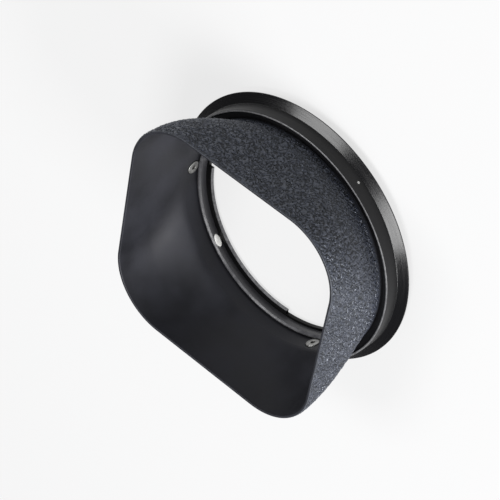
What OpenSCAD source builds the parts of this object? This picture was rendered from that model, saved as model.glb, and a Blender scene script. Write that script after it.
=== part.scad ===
// Square-mouthed lens hood with a turning bayonet lock ring.
// Millimetres. +Z is the optical axis, towards the mouth.
// The origin is the centre of the rear face, which the hood stands on.

/* [Shade] */
// Half of the mouth's width across its flat sides
mouth_half = 28.9; // [27.5:0.1:31]
// Radius of the mouth's rounded corners
mouth_corner_r = 14.4; // [8:0.1:20]
// Height of the mouth's rim above the rear face
mouth_z = 26.2; // [20:0.1:40]
// Outer radius of the shade where it meets the neck collar
shade_foot_r = 28.7; // [28.6:0.05:29]
// Sheet thickness of the shade at its rim
sheet_t = 0.65; // [0.5:0.05:0.9]
// How full the shade's shoulder is above the neck: 1 is a straight flare
shoulder = 2.3; // [1:0.1:3]

/* [Lock ring] */
// Outer radius of the lock ring's rim
rim_r = 33; // [32.5:0.1:35]
// Height at which the rim's broad bevel meets the upright wall
bevel_z = 3.55; // [3.2:0.05:3.8]
// Height of the lock ring's front lip
lip_z = 7.0; // [6.8:0.1:7.2]
// Outer radius of the lock ring's upright wall
lip_r = 30.85; // [30.8:0.05:31.1]
// Turn of the lock ring from open to locked, in degrees
lock_turn = 30; // [15:1:35]

/* [Bayonet] */
// Inner radius of the bayonet lugs, which fits the lens's spigot
lug_r = 25.2; // [24.8:0.1:25.6]
// Radius between the lugs, where the lens's own lugs pass
entry_r = 26.1; // [25.9:0.1:26.3]
// Angle of each gap between lugs, in degrees
entry_angle = 26; // [18:1:34]
// Direction of the middle of the first gap, in degrees
entry_dir = 199; // [180:1:220]
// Thickness of the lug plate
lug_t = 0.85; // [0.6:0.05:1]

/* [Screws] */
// Height of the guide screws above the rear face
guide_z = 5.25; // [5.2:0.05:5.35]
// Head diameter of the guide screws
guide_head_d = 3.3; // [2.8:0.1:3.3]
// Direction of the first guide screw, in degrees
guide_dir = 90; // [0:5:355]
// Direction of the index dot inside the bayonet ring, in degrees
index_dir = 134; // [110:1:160]

/* [Hidden] */
$fn = 128;
eps = 0.01;

// Rear face of the lock ring, in front of the spigot that enters the lens
flange_z = 2.0;
// Top of the lock ring's thin inner web, under the friction spring
web_z = 3.1;
// Top of the land that turns on the neck collar
land_z = 6.2;
// Inner radius of the lip, across the shallow open channel round the neck
channel_r = 30.3;
// Height of the thin edge at the rim, and the hollow radius where bevel meets wall
rim_edge_h = 0.2;
wall_hollow_r = 0.15;
// Running clearance of the lock ring on the neck collar
run_gap = 0.06;

collar_out_r = 28.5;
collar_in_r = 27.75;
collar_rear_z = 3.4;
collar_step_z = 6.6;
collar_front_z = 7.4;
collar_tongue_r = 28.05;
// The shade's many-sided rebate clears the round tongue inside it
tongue_gap = 0.03;

land_r = collar_out_r + run_gap;
web_r = 27.5;

sleeve_out_r = 27.45;
sleeve_in_r = 26.7;
sleeve_front_z = 3.7;
sleeve_chamfer = 0.4;
spigot_r = 30.5;
recess_r = 28.4;
recess_z = 1.55;
lug_rear_z = recess_z - lug_t;

spring_t = 0.2;
spring_in_r = 27.7;
spring_gap_angle = 16;

guide_count = 3;
guide_shank_r = 0.8;
guide_dog_r = 0.6;
guide_dog_start_r = 28.45;
guide_tip_r = 30.05;
guide_head_in_r = 27.5;
// Floor of the counterbore that the head sits in, and the gap round the head
guide_seat_r = 27.95;
guide_head_gap = 0.15;
guide_recess_d = 1.1;
guide_recess_deep = 0.3;
slot_gap = 0.06;
slot_deep_r = 30.2;

lug_count = 3;
lug_screw_r = 27.5;
lug_screw_head_d = 1.2;
lug_screw_d = 0.8;
lug_screw_long = flange_z - lug_rear_z;
ring_screw_count = 4;
ring_screw_r = 29.45;
ring_screw_head_d = 1.8;
ring_screw_d = 1.1;
ring_screw_long = 3.8;
ring_screw_dir = 20;

// Painted index marks: height, size and thickness of paint
index_z = 2.48;
index_long = 3.1;
index_wide = 1.74;
index_t = 0.08;
ring_dot_d = 0.6;
ring_dot_z = 4.7;

// Number of points round the shade and of sections up it
shade_sides = 120;
shade_rows = 12;
// Length over which the round neck blends into the flare, as a share of the shade
neck_blend = 0.08;

// ---- shared shapes --------------------------------------------------------

// Places children on a radius: their +Z becomes the outward direction.
module radial(dir, z) {
    rotate([0, 0, dir]) translate([0, 0, z]) rotate([0, 90, 0]) children();
}

// Sector of a turned profile between two directions.
module turned_arc(from, to) {
    rotate([0, 0, from]) rotate_extrude(angle = to - from) children();
}

// Countersunk screw standing on z = 0, its head's flat face down.
module countersunk(head_d, shank_d, long, slot_w) {
    head_h = (head_d - shank_d) / 2;
    difference() {
        union() {
            cylinder(d1 = head_d, d2 = shank_d, h = head_h);
            cylinder(d = shank_d, h = long);
        }
        translate([-head_d, -slot_w / 2, -eps])
            cube([2 * head_d, slot_w, head_h * 0.5]);
    }
}

// The solid that such a screw fills, cut from what it fastens.
module countersunk_hole(head_d, shank_d, long) {
    cylinder(d1 = head_d, d2 = shank_d, h = (head_d - shank_d) / 2);
    cylinder(d = shank_d, h = long);
}

// Places children where lug screw k and ring screw k enter from the rear.
module at_lug_screw(k) {
    rotate([0, 0, entry_dir - 60 + k * 120]) translate([lug_screw_r, 0, lug_rear_z]) children();
}
module at_ring_screw(k) {
    rotate([0, 0, ring_screw_dir + k * 90]) translate([ring_screw_r, 0, 0]) children();
}

// ---- shade ----------------------------------------------------------------

// Distance from the axis to a square's outline with rounded corners.
function square_r(dir, half, corner) =
    let (fold = abs(((dir % 90) + 90) % 90 - 45),
         from_side = 45 - fold,
         side_r = half / cos(from_side),
         c = half - corner,
         along = c * (cos(from_side) + sin(from_side)),
         arc_r = along + sqrt(max(0, corner * corner - 2 * c * c + along * along)))
    half * tan(from_side) <= c ? side_r : arc_r;

// The same fraction of the way up the shade, with a slow start at the neck.
function eased(t) = (sqrt(t * t + neck_blend * neck_blend) - neck_blend)
    / (sqrt(1 + neck_blend * neck_blend) - neck_blend);

// Outline of the shade at a fraction t of the way from collar to mouth.
function shade_r(dir, t, inset) =
    let (half = shade_foot_r + (mouth_half - shade_foot_r) * t,
         flare = 1 - pow(1 - eased(t), shoulder),
         corner = half + (mouth_corner_r - half) * flare)
    square_r(dir, half - inset, max(1, corner - inset));

function shade_z(t) = collar_front_z + (mouth_z - collar_front_z) * t;

// The wall thins from the collar's rebate to the rim.
function wall_t(t) = shade_foot_r - collar_in_r
    + (sheet_t - shade_foot_r + collar_in_r) * min(1, 2 * t);

function ring_points(t, inset, z) =
    [for (i = [0 : shade_sides - 1])
        let (dir = i * 360 / shade_sides, r = shade_r(dir, t, inset))
        [r * cos(dir), r * sin(dir), z]];

// Rings run up the outside and back down the inside, then round the rebate.
module shade_shell() {
    up = [for (k = [0 : shade_rows]) k / shade_rows];
    rebate = shade_foot_r - (collar_tongue_r + tongue_gap) / cos(180 / shade_sides);
    rings = concat(
        [ring_points(0, 0, collar_step_z)],
        [for (t = up) ring_points(t, 0, shade_z(t))],
        [for (k = [0 : shade_rows])
            let (t = 1 - k / shade_rows) ring_points(t, wall_t(t), shade_z(t))],
        [ring_points(0, rebate, collar_front_z), ring_points(0, rebate, collar_step_z)]);
    count = len(rings);
    points = [for (ring = rings) for (p = ring) p];
    faces = [for (k = [0 : count - 1]) for (i = [0 : shade_sides - 1])
        let (j = (i + 1) % shade_sides, n = (k + 1) % count)
        [k * shade_sides + i, n * shade_sides + i, n * shade_sides + j, k * shade_sides + j]];
    color([0.10, 0.10, 0.11]) polyhedron(points, faces);
}

// Turned collar that carries the shade and turns inside the lock ring.
module neck_collar() {
    color([0.05, 0.05, 0.06]) difference() {
        rotate_extrude() polygon([
            [collar_in_r, collar_rear_z], [collar_out_r, collar_rear_z],
            [collar_out_r, collar_step_z], [collar_tongue_r, collar_step_z],
            [collar_tongue_r, collar_front_z], [collar_in_r, collar_front_z]]);
        for (k = [0 : guide_count - 1]) radial(guide_dir + k * 120, guide_z) {
            translate([0, 0, 25]) cylinder(r = guide_shank_r, h = 5);
            translate([0, 0, 25])
                cylinder(d = guide_head_d + 2 * guide_head_gap, h = guide_seat_r - 25);
        }
    }
}

// Radial screw: head inside the neck, dog point in the lock ring's slot.
module guide_screw(k) {
    color([0.62, 0.62, 0.60]) radial(guide_dir + k * 120, guide_z) difference() {
        union() {
            translate([0, 0, guide_head_in_r]) 
                cylinder(d = guide_head_d, h = guide_seat_r - guide_head_in_r);
            translate([0, 0, guide_head_in_r + eps])
                cylinder(r = guide_shank_r, h = guide_dog_start_r - guide_head_in_r);
            translate([0, 0, guide_head_in_r + eps])
                cylinder(r = guide_dog_r, h = guide_tip_r - guide_head_in_r);
        }
        translate([0, 0, guide_head_in_r - eps])
            cylinder(d = guide_recess_d, h = guide_recess_deep + eps);
    }
}

// ---- lock ring and bayonet ------------------------------------------------

// Section of the lock ring, turned about the axis.
module lock_ring_section() {
    lip_round = (lip_r - channel_r) / 2;
    difference() {
        union() {
            polygon([
                [web_r, flange_z], [rim_r - rim_edge_h, flange_z],
                [rim_r, flange_z + rim_edge_h], [rim_r, flange_z + 2 * rim_edge_h],
                [lip_r, bevel_z], [lip_r, lip_z - lip_round],
                [channel_r, lip_z - lip_round], [channel_r, land_z],
                [land_r, land_z], [land_r, web_z], [web_r, web_z]]);
            translate([channel_r + lip_round, lip_z - lip_round]) circle(r = lip_round, $fn = 40);
            translate([lip_r - eps, bevel_z - 0.1]) square(wall_hollow_r);
        }
        translate([lip_r + wall_hollow_r, bevel_z + wall_hollow_r]) circle(r = wall_hollow_r, $fn = 48);
    }
}

module lock_ring() {
    slot_half = asin((guide_dog_r + 0.12) / slot_deep_r);
    slot_h = guide_dog_r + slot_gap;
    color([0.04, 0.04, 0.05]) difference() {
        rotate_extrude() lock_ring_section();
        for (k = [0 : guide_count - 1]) {
            dir = guide_dir + k * 120;
            turned_arc(dir - lock_turn - slot_half, dir + slot_half)
                translate([land_r - 0.5, guide_z - slot_h])
                    square([slot_deep_r - land_r + 0.5, 2 * slot_h]);
        }
        for (k = [0 : ring_screw_count - 1]) at_ring_screw(k)
            countersunk_hole(ring_screw_head_d, ring_screw_d, ring_screw_long);
        ring_dot_seat();
    }
}

module bayonet_ring() {
    color([0.08, 0.08, 0.09]) difference() {
        rotate_extrude() polygon([
            [sleeve_in_r, recess_z], [sleeve_in_r, sleeve_front_z - sleeve_chamfer],
            [sleeve_in_r + sleeve_chamfer, sleeve_front_z], [sleeve_out_r, sleeve_front_z],
            [sleeve_out_r, flange_z], [spigot_r, flange_z], [spigot_r, 0.25],
            [spigot_r - 0.25, 0], [recess_r, 0], [recess_r, recess_z]]);
        for (k = [0 : ring_screw_count - 1]) at_ring_screw(k)
            countersunk_hole(ring_screw_head_d, ring_screw_d, ring_screw_long);
        for (k = [0 : lug_count - 1]) at_lug_screw(k)
            countersunk_hole(lug_screw_head_d, lug_screw_d, lug_screw_long);
    }
}

// Stamped plate: long lugs with a gap between each pair for the lens's lugs.
module lug_plate() {
    color([0.45, 0.45, 0.46]) difference() {
        translate([0, 0, lug_rear_z]) cylinder(r = recess_r - 0.04, h = lug_t);
        translate([0, 0, lug_rear_z - 1]) cylinder(r = lug_r, h = lug_t + 2);
        for (k = [0 : lug_count - 1])
            turned_arc(entry_dir + k * 120 - entry_angle / 2, entry_dir + k * 120 + entry_angle / 2)
                translate([lug_r - 1, lug_rear_z - 1]) square([entry_r - lug_r + 1, lug_t + 2]);
        for (k = [0 : lug_count - 1]) at_lug_screw(k)
            countersunk_hole(lug_screw_head_d, lug_screw_d, lug_screw_long);
    }
}

module lug_screw(k) {
    color([0.6, 0.6, 0.6]) at_lug_screw(k)
        countersunk(lug_screw_head_d, lug_screw_d, lug_screw_long, 0.25);
}

module ring_screw(k) {
    color([0.6, 0.6, 0.6]) at_ring_screw(k)
        countersunk(ring_screw_head_d, ring_screw_d, ring_screw_long, 0.35);
}

// Split spring washer between the lock ring's web and the collar.
module friction_spring() {
    color([0.7, 0.6, 0.35]) turned_arc(spring_gap_angle / 2, 360 - spring_gap_angle / 2)
        translate([spring_in_r, web_z]) square([collar_out_r - 0.1 - spring_in_r, spring_t]);
}

// ---- painted dots ---------------------------------------------------------

// Oval dot of thick paint on the bayonet ring's inner wall.
module index_dot() {
    ends = (index_long - index_wide) / 2;
    color([0.92, 0.92, 0.9]) intersection() {
        radial(index_dir, index_z) translate([0, 0, 24]) {
            for (side = [-1, 1]) translate([0, side * ends, 0]) cylinder(d = index_wide, h = 4);
            translate([-index_wide / 2, -ends, 0]) cube([index_wide, 2 * ends, 4]);
        }
        rotate_extrude() translate([sleeve_in_r - index_t, 1]) square([index_t, 3]);
    }
}

// Small paint-filled dimple in the lock ring's wall, over one guide screw.
module ring_dot_seat() {
    radial(guide_dir + 240, ring_dot_z) translate([0, 0, lip_r - 0.4])
        cylinder(d = ring_dot_d, h = 0.42);
}
module ring_dot() {
    color([0.92, 0.92, 0.9]) ring_dot_seat();
}

// ---- nodes ----------------------------------------------------------------

shade_shell();
neck_collar();
guide_screw(0);  // guide_screw_1
guide_screw(1);  // guide_screw_2
guide_screw(2);  // guide_screw_3
lock_ring();
bayonet_ring();
lug_plate();
lug_screw(0);  // lug_screw_1
lug_screw(1);  // lug_screw_2
lug_screw(2);  // lug_screw_3
ring_screw(0);  // ring_screw_1
ring_screw(1);  // ring_screw_2
ring_screw(2);  // ring_screw_3
ring_screw(3);  // ring_screw_4
friction_spring();
index_dot();
ring_dot();
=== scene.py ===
"""Visual model of a square-mouthed lens hood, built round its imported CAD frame.

Lengths are written in millimetres and turned into metres by MM. The origin is the
centre of the hood's rear face, and +Z points to the mouth.
"""

import math

import bpy
import numpy as np
from mathutils import Matrix, Quaternion, Vector, noise


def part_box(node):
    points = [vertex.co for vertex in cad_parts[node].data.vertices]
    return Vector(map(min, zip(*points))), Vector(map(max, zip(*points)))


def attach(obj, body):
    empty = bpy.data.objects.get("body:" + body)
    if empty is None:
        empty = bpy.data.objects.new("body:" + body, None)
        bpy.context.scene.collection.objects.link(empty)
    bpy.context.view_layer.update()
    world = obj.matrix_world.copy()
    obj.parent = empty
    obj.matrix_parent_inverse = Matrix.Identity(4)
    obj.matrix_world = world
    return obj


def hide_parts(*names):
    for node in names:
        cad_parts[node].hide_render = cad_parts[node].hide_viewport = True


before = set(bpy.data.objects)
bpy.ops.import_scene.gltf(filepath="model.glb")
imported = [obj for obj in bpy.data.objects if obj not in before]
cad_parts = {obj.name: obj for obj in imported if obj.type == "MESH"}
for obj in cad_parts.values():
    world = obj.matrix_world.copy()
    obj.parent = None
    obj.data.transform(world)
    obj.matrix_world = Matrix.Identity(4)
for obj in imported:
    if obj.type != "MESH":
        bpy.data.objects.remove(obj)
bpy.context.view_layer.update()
MM = 0.001

# ---- dimensions taken from the frame, in millimetres -----------------------

shell_low, shell_high = (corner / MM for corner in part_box("shade_shell"))
collar_low, collar_high = (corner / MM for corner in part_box("neck_collar"))
ring_low, ring_high = (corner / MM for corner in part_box("lock_ring"))
bayonet_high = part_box("bayonet_ring")[1] / MM

MOUTH_Z = shell_high.z
FOOT_Z = shell_low.z
NECK_Z = collar_high.z
COLLAR_REAR_Z = collar_low.z
COLLAR_OUT_R = collar_high.x
LIP_Z = ring_high.z
RIM_R = ring_high.x
FLANGE_Z = ring_low.z
SLEEVE_Z = bayonet_high.z
SPIGOT_R = bayonet_high.x
WEB_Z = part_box("friction_spring")[0].z / MM

# ---- dimensions of the looks, in millimetres -------------------------------

MOUTH_HALF = 28.9
MOUTH_CORNER_R = 14.4
SHOULDER = 2.3
NECK_BLEND = 0.08
FOOT_R = 28.7
NECK_IN_R = 27.75
TONGUE_R = 28.05
SHEET_T = 0.65
EDGE_R = 0.2
LIP_R = 30.85
CHANNEL_R = 30.3
BEVEL_Z = 3.55
WALL_HOLLOW_R = 0.15
RIM_EDGE = 0.2
LAND_R = 28.56
LAND_Z = 6.2
WEB_R = 27.5
SLEEVE_OUT_R = 27.45
SLEEVE_IN_R = 26.7
SLEEVE_CHAMFER = 0.4
RECESS_R = 28.4
RECESS_Z = 1.55
LUG_R = 25.2
LUG_REAR_Z = 0.7
LOCK_TURN = 30

SCREW_DIRECTIONS = (90, 210, 330)
SCREW_Z = 5.25
SCREW_HEAD_R = 1.65
SCREW_SHANK_R = 0.8
SCREW_DOG_R = 0.6
SCREW_SEAT_R = 27.95
SCREW_HEAD_IN_R = 27.5
SCREW_HEAD_GAP = 0.15
SCREW_DOG_START_R = 28.45
SCREW_TIP_R = 30.05
SLOT_GAP = 0.06
SLOT_DEEP_R = 30.2

LUG_SCREW_DIRECTIONS = (139, 259, 19)
LUG_SCREW_R = 27.5
LUG_SCREW_HEAD_R = 0.6
LUG_SCREW_SHANK_R = 0.4
LUG_SCREW_LONG = 1.3
RING_SCREW_DIRECTIONS = (20, 110, 200, 290)
RING_SCREW_R = 29.45
RING_SCREW_HEAD_R = 0.9
RING_SCREW_SHANK_R = 0.55
RING_SCREW_LONG = 3.8

# Half length, half width and thickness of each painted dot.
INDEX_DOT_SIZE = (1.55, 0.87, 0.06)
RING_DOT_SIZE = (0.3, 0.3, 0.0)

# ---- camera -----------------------------------------------------------------

CAMERA_AZIMUTH = 59.63
CAMERA_ELEVATION = 36.30
CAMERA_ROLL = -123.99
CAMERA_DISTANCE = 503.3
CAMERA_LENS = 165.6
CAMERA_AIM = (-0.31, 1.59, 14.56)


def add_camera():
    azimuth, elevation = math.radians(CAMERA_AZIMUTH), math.radians(CAMERA_ELEVATION)
    back = Vector((math.sin(azimuth) * math.cos(elevation),
                   -math.cos(azimuth) * math.cos(elevation), math.sin(elevation)))
    data = bpy.data.cameras.new("camera")
    data.lens = CAMERA_LENS
    data.sensor_width = 36
    data.clip_start = 0.01
    data.clip_end = 20
    camera = bpy.data.objects.new("camera", data)
    camera.rotation_mode = "QUATERNION"
    level = (-back).to_track_quat("-Z", "Y")
    camera.rotation_quaternion = level @ Quaternion((0, 0, 1), math.radians(CAMERA_ROLL))
    camera.location = (Vector(CAMERA_AIM) + back * CAMERA_DISTANCE) * MM
    bpy.context.scene.collection.objects.link(camera)
    bpy.context.scene.camera = camera


# ---- mesh helpers -------------------------------------------------------------

def mesh_object(name, points, faces, materials):
    """A smooth-shaded mesh from points in millimetres."""
    mesh = bpy.data.meshes.new(name)
    mesh.from_pydata((np.asarray(points) * MM).tolist(), [], faces)
    mesh.update()
    mesh.shade_smooth()
    for material in materials:
        mesh.materials.append(material)
    piece = bpy.data.objects.new(name, mesh)
    bpy.context.scene.collection.objects.link(piece)
    return piece


def grid_faces(rows, columns, close_rows=False):
    """Quads of a grid of points that closes round its columns."""
    faces = []
    for k in range(rows if close_rows else rows - 1):
        upper = (k + 1) % rows
        for i in range(columns):
            j = (i + 1) % columns
            faces.append((k * columns + i, k * columns + j,
                          upper * columns + j, upper * columns + i))
    return faces


def arc(centre, radius, start, end, steps):
    """Points of an arc in a section, from one direction to another, in degrees."""
    return [(centre[0] + radius * math.cos(math.radians(start + (end - start) * k / steps)),
             centre[1] + radius * math.sin(math.radians(start + (end - start) * k / steps)))
            for k in range(steps + 1)]


# ---- shade --------------------------------------------------------------------

SHADE_COLUMNS = 1440
ROW_PITCH = 0.13
CRINKLE_GRAIN = 0.66
CRINKLE_DEPTH = 0.44


def square_r(direction, half, corner):
    """Distance from the axis to a square's outline with rounded corners."""
    from_side = np.radians(45 - np.abs(direction % 90 - 45))
    side_r = half / np.cos(from_side)
    c = half - corner
    along = c * (np.cos(from_side) + np.sin(from_side))
    arc_r = along + np.sqrt(np.maximum(0, corner ** 2 - 2 * c ** 2 + along ** 2))
    return np.where(half * np.tan(from_side) <= c, side_r, arc_r)


def shade_row(inset, z):
    """One closed row of the shade's skin, that far inside its outer face."""
    t = max(0, (z - NECK_Z) / (MOUTH_Z - NECK_Z))
    eased = (math.hypot(t, NECK_BLEND) - NECK_BLEND) / (math.hypot(1, NECK_BLEND) - NECK_BLEND)
    half = FOOT_R + (MOUTH_HALF - FOOT_R) * t
    corner = half + (MOUTH_CORNER_R - half) * (1 - (1 - eased) ** SHOULDER)
    direction = np.arange(SHADE_COLUMNS) * 360 / SHADE_COLUMNS
    r = square_r(direction, half - inset, max(1, corner - inset))
    angle = np.radians(direction)
    return np.stack([r * np.cos(angle), r * np.sin(angle), np.full(SHADE_COLUMNS, z)], axis=1)


def wall_t(z):
    t = max(0, (z - NECK_Z) / (MOUTH_Z - NECK_Z))
    neck_t = FOOT_R - NECK_IN_R
    return neck_t + (SHEET_T - neck_t) * min(1, 2 * t)


def crinkle(point):
    """Height, from 0 to 1, of plump ridges with narrow creases between them."""
    grain = Vector(point) / CRINKLE_GRAIN
    bent = grain + noise.noise_vector(grain * 0.55) * 1.1
    ridge = min(1, abs(noise.noise(bent)) * 3.2)
    fine = noise.noise(bent * 2.6)
    return ridge ** 0.6 * (0.85 + 0.3 * fine)


def shade_shell(materials):
    top = MOUTH_Z - EDGE_R
    outside = [(0, z) for z in np.linspace(FOOT_Z, top, round((top - FOOT_Z) / ROW_PITCH))]
    edge = [(inset, z) for inset, z in arc((EDGE_R, top), EDGE_R, 180, 90, 5)[1:]]
    edge += [(inset, z) for inset, z in arc((SHEET_T - EDGE_R, top), EDGE_R, 90, 0, 5)]
    inside = [(wall_t(z), z) for z in np.linspace(top - 0.3, NECK_Z + 0.03, 40)]
    inside.append((wall_t(NECK_Z), NECK_Z))
    rebate = FOOT_R - TONGUE_R
    rows = outside + edge + inside + [(rebate, NECK_Z), (rebate, FOOT_Z)]
    skin = np.stack([shade_row(inset, z) for inset, z in rows])
    along = np.gradient(skin, axis=0)
    around = np.roll(skin, -1, axis=1) - np.roll(skin, 1, axis=1)
    normal = np.cross(around, along)
    normal /= np.linalg.norm(normal, axis=2, keepdims=True)
    relief = np.full(skin.shape[:2], 0.5)
    for k, (_, z) in enumerate(outside):
        # The wrinkles die away towards the foot and the front edge.
        fade = min(1, max(0, (z - FOOT_Z - 0.3) / 0.6), (top - z) / 0.4)
        if fade > 0:
            relief[k] = [crinkle(p) for p in skin[k]]
            skin[k] += normal[k] * ((relief[k] - 0.5) * CRINKLE_DEPTH * fade)[:, None]
    faces = grid_faces(len(rows), SHADE_COLUMNS, close_rows=True)
    piece = mesh_object("shade_paint_shell", skin.reshape(-1, 3), faces, materials)
    # The relief also goes to the paint shader, which paints crests lighter and creases darker with
    # it: painted highlight and painted shade.
    height = piece.data.attributes.new("relief", "FLOAT", "POINT")
    height.data.foreach_set("value", relief.ravel())
    first_inside = len(outside) + 3
    index = np.zeros(len(faces), np.int32)
    index[first_inside * SHADE_COLUMNS:] = 1
    piece.data.polygons.foreach_set("material_index", index)
    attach(piece, "shade")
    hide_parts("shade_shell")
    return piece


# ---- guide screws ---------------------------------------------------------------

def lathe(name, section, steps, materials):
    """A solid turned about Z from a section whose first and last points lie on the axis."""
    points = [(0, 0, section[0][1])]
    for r, z in section[1:-1]:
        for i in range(steps):
            angle = 2 * math.pi * i / steps
            points.append((r * math.cos(angle), r * math.sin(angle), z))
    points.append((0, 0, section[-1][1]))
    rows = len(section) - 2
    faces = [tuple(1 + i for i in face) for face in grid_faces(rows, steps)]
    last = len(points) - 1
    for i in range(steps):
        j = (i + 1) % steps
        faces.append((0, 1 + j, 1 + i))
        faces.append((last, last - steps + i, last - steps + j))
    return mesh_object(name, points, faces, materials)


def outward(direction, z):
    """Matrix that lays +Z along a radius at that height."""
    turn = Matrix.Rotation(math.radians(direction), 4, "Z") @ Matrix.Rotation(math.pi / 2, 4, "Y")
    return Matrix.Translation((0, 0, z * MM)) @ turn


def upright(direction, r, z):
    """Matrix that stands +Z on a point that far from the axis."""
    place = Matrix.Translation((r * MM, 0, z * MM))
    return Matrix.Rotation(math.radians(direction), 4, "Z") @ place


def guide_screw(k, materials):
    """Cheese-head screw with a conical driving recess, its +Z pointing outward."""
    low, high = SCREW_HEAD_IN_R, SCREW_SEAT_R
    round_r, recess_r, recess_deep = 0.12, 0.55, 0.3
    section = [(0, low + recess_deep), (recess_r - 0.1, low + recess_deep)]
    section += arc((recess_r + 0.06, low + 0.06), 0.06, 180, 270, 4)
    section += arc((SCREW_HEAD_R - round_r, low + round_r), round_r, 270, 360, 6)
    section += [(SCREW_HEAD_R, high)]
    section += [(SCREW_SHANK_R, high), (SCREW_SHANK_R, SCREW_DOG_START_R - 0.1)]
    section += [(SCREW_DOG_R, SCREW_DOG_START_R), (SCREW_DOG_R, SCREW_TIP_R - 0.08)]
    section += [(SCREW_DOG_R - 0.08, SCREW_TIP_R), (0, SCREW_TIP_R)]
    piece = lathe(f"guide_screw_{k + 1}_turned", section, 64, materials)
    # The recess faces take the second, near-black material: painted shade in the recess.
    for face in piece.data.polygons:
        in_recess = math.hypot(face.center.x, face.center.y) < recess_r * MM
        face.material_index = 1 if in_recess and face.center.z < high * MM else 0
    piece.data.transform(outward(SCREW_DIRECTIONS[k], SCREW_Z))
    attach(piece, "shade")
    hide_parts(f"guide_screw_{k + 1}")


# ---- painted dots ----------------------------------------------------------------

def paint_drop(name, node, base_r, facing, size, materials):
    """An oval drop of thick paint on an upright wall, where the node is.

    Facing is 1 for a wall seen from outside, or -1 for one seen from inside."""
    low, high = (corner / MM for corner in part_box(node))
    centre = (low + high) / 2
    angle = math.atan2(centre.y, centre.x)
    half_long, half_wide, lift = size
    rings, steps = 10, 48
    points = []
    for k in range(1, rings + 1):
        share = k / rings
        for i in range(steps):
            turn = 2 * math.pi * i / steps
            rim = Vector((math.cos(turn), math.sin(turn), centre.z))
            wobble = 1 + 0.05 * noise.noise(rim * 1.7)
            side = half_long * share * wobble * math.cos(turn)
            up = half_wide * share * wobble * math.sin(turn)
            dome = lift * math.sqrt(max(0, 1 - share ** 4)) + 0.005
            r = base_r + facing * dome
            here = angle + side / r
            points.append((r * math.cos(here), r * math.sin(here), centre.z + up))
    crown_r = base_r + facing * (lift + 0.005)
    points.append((crown_r * math.cos(angle), crown_r * math.sin(angle), centre.z))
    faces = grid_faces(rings, steps)
    faces += [(len(points) - 1, (i + 1) % steps, i) for i in range(steps)]
    if facing < 0:
        faces = [face[::-1] for face in faces]
    piece = mesh_object(name, points, faces, materials)
    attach(piece, "lock")
    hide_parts(node)


# ---- turned rings -----------------------------------------------------------------

RING_STEPS = 480


def rounded(corners, steps=5):
    """A closed section from corners (r, z, rounding radius)."""
    points = []
    for k, (r, z, rounding) in enumerate(corners):
        here = Vector((r, z))
        before = Vector(corners[k - 1][:2]) - here
        after = Vector(corners[(k + 1) % len(corners)][:2]) - here
        if rounding == 0:
            points.append((r, z))
            continue
        half = before.angle(after) / 2
        start = here + before.normalized() * rounding / math.tan(half)
        end = here + after.normalized() * rounding / math.tan(half)
        bisector = (before.normalized() + after.normalized()).normalized()
        middle = here + bisector * rounding / math.sin(half)
        for i in range(steps + 1):
            spoke = (start - middle).lerp(end - middle, i / steps).normalized() * rounding
            points.append(tuple(middle + spoke))
    return points


def turned_ring(name, corners, materials):
    """A ring turned about Z from a closed section."""
    points = []
    section = rounded(corners)
    for r, z in section:
        for i in range(RING_STEPS):
            angle = 2 * math.pi * i / RING_STEPS
            points.append((r * math.cos(angle), r * math.sin(angle), z))
    faces = grid_faces(len(section), RING_STEPS, close_rows=True)
    return mesh_object(name, points, faces, materials)


def sector(low_r, high_r, low_z, high_z, start, end):
    """Solid arc of a square section, for cutting a slot."""
    section = [(low_r, low_z), (high_r, low_z), (high_r, high_z), (low_r, high_z)]
    steps = 32
    points, faces = [], [(0, 1, 2, 3), (4 * steps + 3, 4 * steps + 2, 4 * steps + 1, 4 * steps)]
    for i in range(steps + 1):
        angle = math.radians(start + (end - start) * i / steps)
        points += [(r * math.cos(angle), r * math.sin(angle), z) for r, z in section]
    for i in range(steps):
        for k in range(4):
            j = (k + 1) % 4
            faces.append((4 * i + k, 4 * i + 4 + k, 4 * i + 4 + j, 4 * i + j))
    return mesh_object("cutter", points, faces, [])


def drill(matrix, section):
    """A round cutter of that section, in place."""
    cutter = lathe("cutter", section, 40, [])
    cutter.data.transform(matrix)
    return cutter


def countersink(matrix, head_r, shank_r, deep):
    head_deep = head_r - shank_r
    over = 0.05
    return drill(matrix, [(0, -over), (head_r + over, -over), (shank_r, head_deep),
                          (shank_r, deep), (0, deep)])


def ring_screw_hole(direction):
    return countersink(upright(direction, RING_SCREW_R, 0),
                       RING_SCREW_HEAD_R, RING_SCREW_SHANK_R, RING_SCREW_LONG)


def cut(piece, cutters):
    """Takes the cutters out of the piece and removes them."""
    for cutter in cutters:
        modifier = piece.modifiers.new("cut", "BOOLEAN")
        modifier.operation = "DIFFERENCE"
        modifier.solver = "EXACT"
        modifier.object = cutter
    shape = piece.evaluated_get(bpy.context.evaluated_depsgraph_get())
    mesh = bpy.data.meshes.new_from_object(shape)
    piece.modifiers.clear()
    piece.data = mesh
    for cutter in cutters:
        bpy.data.objects.remove(cutter)
    mesh.shade_smooth()
    mesh.set_sharp_from_angle(angle=math.radians(32))


def finish_ring(piece, body, node):
    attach(piece, body)
    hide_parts(node)


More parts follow.
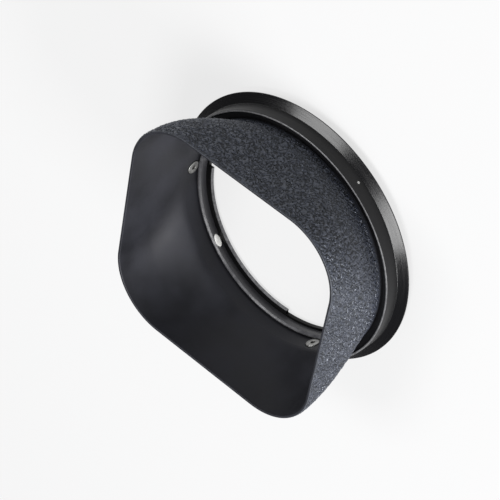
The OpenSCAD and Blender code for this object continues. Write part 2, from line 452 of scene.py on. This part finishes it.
def lock_ring(materials):
    edge = RIM_EDGE
    lip_round = (LIP_R - CHANNEL_R) / 2 - 0.005
    piece = turned_ring("lock_ring_turned", [
        (WEB_R, FLANGE_Z, 0.05), (RIM_R - edge, FLANGE_Z, 0.05), (RIM_R, FLANGE_Z + edge, 0.06),
        (RIM_R, FLANGE_Z + 2 * edge, 0.06), (LIP_R, BEVEL_Z, WALL_HOLLOW_R),
        (LIP_R, LIP_Z, lip_round),
        (CHANNEL_R, LIP_Z, lip_round), (CHANNEL_R, LAND_Z, 0.1), (LAND_R, LAND_Z, 0.08),
        (LAND_R, WEB_Z, 0), (WEB_R, WEB_Z, 0.05)], materials)
    slot_half = math.degrees(math.asin((SCREW_DOG_R + 0.12) / SLOT_DEEP_R))
    slot_h = SCREW_DOG_R + SLOT_GAP
    cutters = [sector(LAND_R - 0.5, SLOT_DEEP_R, SCREW_Z - slot_h, SCREW_Z + slot_h,
                      direction - LOCK_TURN - slot_half, direction + slot_half)
               for direction in SCREW_DIRECTIONS]
    cutters += [ring_screw_hole(direction)
                for direction in RING_SCREW_DIRECTIONS]
    cut(piece, cutters)
    finish_ring(piece, "lock", "lock_ring")


def bayonet_ring(materials):
    piece = turned_ring("bayonet_ring_turned", [
        (SLEEVE_IN_R, RECESS_Z, 0.05), (RECESS_R, RECESS_Z, 0.03), (RECESS_R, 0, 0.08),
        (SPIGOT_R - 0.25, 0, 0.06), (SPIGOT_R, 0.25, 0.06), (SPIGOT_R, FLANGE_Z, 0),
        (SLEEVE_OUT_R, FLANGE_Z, 0), (SLEEVE_OUT_R, SLEEVE_Z, 0.05),
        (SLEEVE_IN_R + SLEEVE_CHAMFER, SLEEVE_Z, 0.08),
        (SLEEVE_IN_R, SLEEVE_Z - SLEEVE_CHAMFER, 0.12)], materials)
    cutters = [ring_screw_hole(direction)
               for direction in RING_SCREW_DIRECTIONS]
    cutters += [countersink(upright(direction, LUG_SCREW_R, LUG_REAR_Z),
                            LUG_SCREW_HEAD_R, LUG_SCREW_SHANK_R, LUG_SCREW_LONG)
                for direction in LUG_SCREW_DIRECTIONS]
    cut(piece, cutters)
    finish_ring(piece, "lock", "bayonet_ring")


def neck_collar(materials):
    piece = turned_ring("neck_collar_turned", [
        (NECK_IN_R, COLLAR_REAR_Z, 0.08), (COLLAR_OUT_R, COLLAR_REAR_Z, 0.08),
        (COLLAR_OUT_R, FOOT_Z, 0), (TONGUE_R, FOOT_Z, 0), (TONGUE_R, NECK_Z, 0),
        (NECK_IN_R, NECK_Z, 0)], materials)
    bore_r = SCREW_HEAD_R + SCREW_HEAD_GAP
    cutters = [drill(outward(direction, SCREW_Z), [
        (0, 25), (bore_r, 25), (bore_r, SCREW_SEAT_R), (SCREW_SHANK_R, SCREW_SEAT_R),
        (SCREW_SHANK_R, 29), (0, 29)]) for direction in SCREW_DIRECTIONS]
    cut(piece, cutters)
    finish_ring(piece, "shade", "neck_collar")


# ---- materials --------------------------------------------------------------------

class Shader:
    """A principled material whose inputs are fed by short node chains."""

    def __init__(self, name, **sockets):
        self.material = bpy.data.materials.new(name)
        self.material.use_nodes = True
        self.tree = self.material.node_tree
        self.main = self.tree.nodes["Principled BSDF"]
        self.place = self.node("ShaderNodeTexCoord").outputs["Object"]
        for socket, value in sockets.items():
            self.main.inputs[socket.replace("_", " ")].default_value = value

    def node(self, kind, **settings):
        made = self.tree.nodes.new(kind)
        for key, value in settings.items():
            setattr(made, key, value)
        return made

    def feed(self, socket, value):
        if isinstance(value, bpy.types.NodeSocket):
            self.tree.links.new(value, socket)
        else:
            socket.default_value = value

    def math(self, operation, *values):
        made = self.node("ShaderNodeMath", operation=operation)
        for socket, value in zip(made.inputs, values):
            self.feed(socket, value)
        return made.outputs[0]

    def noise(self, size, detail=3, distortion=0.0):
        """Noise whose features are about that many millimetres across."""
        made = self.node("ShaderNodeTexNoise")
        self.feed(made.inputs["Vector"], self.place)
        made.inputs["Scale"].default_value = 1 / (size * MM)
        made.inputs["Detail"].default_value = detail
        made.inputs["Distortion"].default_value = distortion
        return made.outputs["Fac"]

    def ramp(self, value, low, high, to_low=0.0, to_high=1.0):
        made = self.node("ShaderNodeMapRange", clamp=True, interpolation_type="SMOOTHSTEP")
        for socket, number in zip(made.inputs, (value, low, high, to_low, to_high)):
            self.feed(socket, number)
        return made.outputs[0]

    def mix(self, factor, first, second):
        made = self.node("ShaderNodeMix", data_type="RGBA")
        self.feed(made.inputs[0], factor)
        self.feed(made.inputs[6], first)
        self.feed(made.inputs[7], second)
        return made.outputs[2]

    def bump(self, height, distance):
        """Bump of that many millimetres."""
        made = self.node("ShaderNodeBump")
        made.inputs["Strength"].default_value = 1.0
        made.inputs["Distance"].default_value = distance * MM
        self.feed(made.inputs["Height"], height)
        return made.outputs["Normal"]

    def axes(self):
        """Distance from the axis and height, both in millimetres."""
        split = self.node("ShaderNodeSeparateXYZ")
        self.feed(split.inputs[0], self.place)
        x2 = self.math("MULTIPLY", split.outputs[0], split.outputs[0])
        y2 = self.math("MULTIPLY", split.outputs[1], split.outputs[1])
        radius = self.math("SQRT", self.math("ADD", x2, y2))
        return self.math("DIVIDE", radius, MM), self.math("DIVIDE", split.outputs[2], MM)

    def turning(self, pitch):
        """Fine marks that a lathe leaves, running round the axis."""
        along = 9.0
        radius, height = self.axes()
        split = self.node("ShaderNodeSeparateXYZ")
        self.feed(split.inputs[0], self.place)
        joined = self.node("ShaderNodeCombineXYZ")
        self.feed(joined.inputs[0], self.math("DIVIDE", split.outputs[0], along * MM))
        self.feed(joined.inputs[1], self.math("DIVIDE", split.outputs[1], along * MM))
        self.feed(joined.inputs[2], self.math("DIVIDE", height, pitch))
        made = self.node("ShaderNodeTexNoise", noise_dimensions="4D")
        self.feed(made.inputs["Vector"], joined.outputs[0])
        self.feed(made.inputs["W"], self.math("DIVIDE", radius, pitch))
        made.inputs["Scale"].default_value = 1
        made.inputs["Detail"].default_value = 2
        return made.outputs["Fac"]

    def set(self, **sockets):
        for socket, value in sockets.items():
            self.feed(self.main.inputs[socket.replace("_", " ")], value)
        return self.material


def crinkle_paint():
    s = Shader("crinkle_paint", Specular_IOR_Level=0.66, Specular_Tint=(0.86, 0.91, 1.0, 1))
    relief = s.node("ShaderNodeAttribute", attribute_name="relief").outputs["Fac"]
    grain = s.noise(0.4, detail=4, distortion=1.0)
    patch = s.noise(7, detail=2)
    # The colour follows the relief: crests are painted lighter as a painted highlight, and creases
    # near black as painted shade.
    height = s.math("ADD", s.ramp(relief, 0.25, 1.05), s.ramp(grain, 0.3, 0.7, -0.25, 0.25))
    colour = s.mix(height, (0.0007, 0.0008, 0.0013, 1), (0.028, 0.032, 0.046, 1))
    rough = s.math("ADD", s.ramp(patch, 0.3, 0.7, 0.27, 0.36), s.ramp(height, 0, 1, 0.26, -0.05))
    return s.set(Base_Color=colour, Roughness=rough, Normal=s.bump(grain, 0.12))


def matte_black():
    s = Shader("matte_black", Specular_IOR_Level=0.33, Specular_Tint=(0.93, 0.93, 1.0, 1))
    speck = s.noise(0.12, detail=3)
    cloud = s.noise(9, detail=3)
    colour = s.mix(s.ramp(cloud, 0.3, 0.7), (0.0055, 0.0058, 0.0075, 1), (0.0105, 0.011, 0.0145, 1))
    rough = s.ramp(cloud, 0.25, 0.75, 0.5, 0.62)
    return s.set(Base_Color=colour, Roughness=rough, Normal=s.bump(speck, 0.006))


def black_anodised():
    """Glossy turned bevel, satin wall and a lip band painted lighter grey: rubbed wear and a
    painted highlight.
    """
    s = Shader("black_anodised", Specular_IOR_Level=0.3)
    radius, height = s.axes()
    lines = s.turning(0.09)
    dust = s.noise(0.7, detail=4)
    # The top band of the lip is painted lighter grey: partly rubbed wear, partly a painted
    # highlight on its rounded edge.
    lip_wear_and_highlight = s.ramp(height, LIP_Z - 0.16, LIP_Z - 0.03)
    worn = s.math("MULTIPLY", lip_wear_and_highlight, s.ramp(dust, 0.35, 0.65, 0.6, 1.0))
    colour = s.mix(worn, (0.0025, 0.0025, 0.003, 1), (0.12, 0.12, 0.125, 1))
    wall = s.ramp(height, BEVEL_Z + 0.05, BEVEL_Z + 0.55)
    rough = s.math("ADD", s.ramp(wall, 0, 1, 0.2, 0.36), s.ramp(lines, 0.3, 0.7, -0.05, 0.08))
    return s.set(Base_Color=colour, Roughness=rough, Normal=s.bump(lines, 0.004))


def satin_anodised():
    """Dark sleeve whose chamfered front edge has rubbed bright."""
    s = Shader("satin_anodised", Specular_IOR_Level=0.5)
    radius, height = s.axes()
    lines = s.turning(0.1)
    dust = s.noise(1.3, detail=4)
    chamfer = s.ramp(height, SLEEVE_Z - SLEEVE_CHAMFER - 0.03, SLEEVE_Z - SLEEVE_CHAMFER + 0.05)
    worn = s.math("MULTIPLY", chamfer, s.ramp(dust, 0.4, 0.65, 0.0, 0.14))
    colour = s.mix(worn, (0.032, 0.032, 0.036, 1), (0.30, 0.30, 0.31, 1))
    rough = s.ramp(lines, 0.3, 0.7, 0.28, 0.42)
    return s.set(Base_Color=colour, Metallic=worn, Roughness=rough, Normal=s.bump(lines, 0.005))


def lug_steel():
    """Blackened plate, painted near black as painted shade for the channel behind the sleeve, with
    a bare inner edge that the lens's lugs have polished.
    """
    s = Shader("lug_steel", Specular_IOR_Level=0.15)
    radius, height = s.axes()
    lines = s.turning(0.15)
    dust = s.noise(0.9, detail=4)
    edge = s.ramp(radius, LUG_R + 0.1, LUG_R + 0.02)
    worn = s.math("MULTIPLY", edge, s.ramp(dust, 0.3, 0.6, 0.4, 0.8))
    # The face colour is near black: blackening plus painted shade of the channel behind the sleeve.
    colour = s.mix(worn, (0.0015, 0.0015, 0.0017, 1), (0.24, 0.24, 0.25, 1))
    rough = s.ramp(lines, 0.3, 0.7, 0.26, 0.4)
    return s.set(Base_Color=colour, Metallic=worn, Roughness=rough, Normal=s.bump(lines, 0.006))


def screw_steel():
    s = Shader("screw_steel", Metallic=1.0)
    scratch = s.noise(0.25, detail=5, distortion=1.5)
    stain = s.noise(0.9, detail=3)
    colour = s.mix(s.ramp(stain, 0.35, 0.65), (0.22, 0.22, 0.215, 1), (0.38, 0.38, 0.37, 1))
    rough = s.ramp(scratch, 0.3, 0.7, 0.34, 0.52)
    return s.set(Base_Color=colour, Roughness=rough, Normal=s.bump(scratch, 0.006))


def screw_recess_shade():
    s = Shader("screw_recess_shade", Specular_IOR_Level=0.3)
    speck = s.noise(0.15, detail=4)
    # The screw's driving recess is painted near black: painted shade in the recess.
    colour = s.mix(s.ramp(speck, 0.3, 0.7), (0.006, 0.006, 0.005, 1), (0.03, 0.028, 0.025, 1))
    rough = s.ramp(speck, 0.3, 0.7, 0.6, 0.8)
    return s.set(Base_Color=colour, Roughness=rough, Normal=s.bump(speck, 0.01))


def spring_bronze():
    s = Shader("spring_bronze", Metallic=1.0)
    lines = s.turning(0.12)
    stain = s.noise(1.5, detail=4)
    colour = s.mix(s.ramp(stain, 0.3, 0.7), (0.07, 0.05, 0.03, 1), (0.13, 0.095, 0.06, 1))
    rough = s.ramp(lines, 0.3, 0.7, 0.25, 0.4)
    return s.set(Base_Color=colour, Roughness=rough, Normal=s.bump(lines, 0.004))


def dot_paint(name, white):
    s = Shader(name, Specular_IOR_Level=0.5)
    lump = s.noise(0.3, detail=3)
    low = white * 0.9
    colour = s.mix(s.ramp(lump, 0.3, 0.7), (low, low, low * 0.97, 1),
                   (white, white, white * 0.97, 1))
    rough = s.ramp(lump, 0.3, 0.7, 0.35, 0.5)
    return s.set(Base_Color=colour, Roughness=rough, Normal=s.bump(lump, 0.005))


# ---- studio -------------------------------------------------------------------------

def add_floor():
    size = 4.0
    mesh = bpy.data.meshes.new("floor")
    mesh.from_pydata([(-size, -size, 0), (size, -size, 0), (size, size, 0), (-size, size, 0)], [],
                     [(0, 1, 2, 3)])
    floor = bpy.data.objects.new("floor", mesh)
    bpy.context.scene.collection.objects.link(floor)
    s = Shader("floor", Roughness=0.9, Specular_IOR_Level=0.1, Emission_Strength=0.72)
    s.main.inputs["Emission Color"].default_value = (1, 1, 1, 1)
    mesh.materials.append(s.set(Base_Color=(0.1, 0.1, 0.101, 1)))


# Name, direction and elevation in degrees, width and height in metres, and watts.
SOFTBOXES = [
    ("softbox_left", 42, 61, 0.5, 0.36, 7),
    ("softbox_right", -88, 63, 0.5, 0.36, 9),
    ("fill_right", -100, 20, 0.5, 0.25, 14),
]
SOFTBOX_DISTANCE = 0.9


def add_softbox(name, direction, elevation, width, height, power):
    """A rectangular light that faces the hood."""
    towards = Vector((math.cos(math.radians(direction)) * math.cos(math.radians(elevation)),
                      math.sin(math.radians(direction)) * math.cos(math.radians(elevation)),
                      math.sin(math.radians(elevation))))
    data = bpy.data.lights.new(name, "AREA")
    data.shape = "RECTANGLE"
    data.size = width
    data.size_y = height
    data.energy = power
    light = bpy.data.objects.new(name, data)
    light.location = towards * SOFTBOX_DISTANCE + Vector((0, 0, NECK_Z * MM))
    light.rotation_mode = "QUATERNION"
    light.rotation_quaternion = towards.to_track_quat("Z", "Y")
    bpy.context.scene.collection.objects.link(light)


def add_studio():
    world = bpy.data.worlds.new("studio")
    world.use_nodes = True
    background = world.node_tree.nodes["Background"]
    background.inputs["Color"].default_value = (1, 1, 1, 1)
    background.inputs["Strength"].default_value = 0.12
    bpy.context.scene.world = world
    bpy.context.scene.view_settings.view_transform = "Standard"
    add_floor()
    for softbox in SOFTBOXES:
        add_softbox(*softbox)


# ---- assembly -------------------------------------------------------------------------

add_camera()
add_studio()

black_paint = matte_black()
steel = screw_steel()
paint = dot_paint("index_paint", 0.94)
recess_shade = screw_recess_shade()
dull_paint = dot_paint("worn_paint", 0.34)
shade_shell([crinkle_paint(), black_paint])
for number in range(len(SCREW_DIRECTIONS)):
    guide_screw(number, [steel, recess_shade])
paint_drop("index_dot_paint", "index_dot", SLEEVE_IN_R, -1, INDEX_DOT_SIZE, [paint])
paint_drop("ring_dot_paint", "ring_dot", LIP_R, 1, RING_DOT_SIZE, [dull_paint])

lock_ring([black_anodised()])
bayonet_ring([satin_anodised()])
neck_collar([black_paint])

CAD_FINISHES = {
    "lug_plate": (lug_steel(), "lug_steel"),
    "friction_spring": (spring_bronze(), "spring_bronze"),
}
for node_name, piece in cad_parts.items():
    if piece.hide_render:
        continue
    finish, slot_name = CAD_FINISHES.get(node_name, (steel, "screw_steel"))
    piece.data.materials.clear()
    piece.data.materials.append(finish)
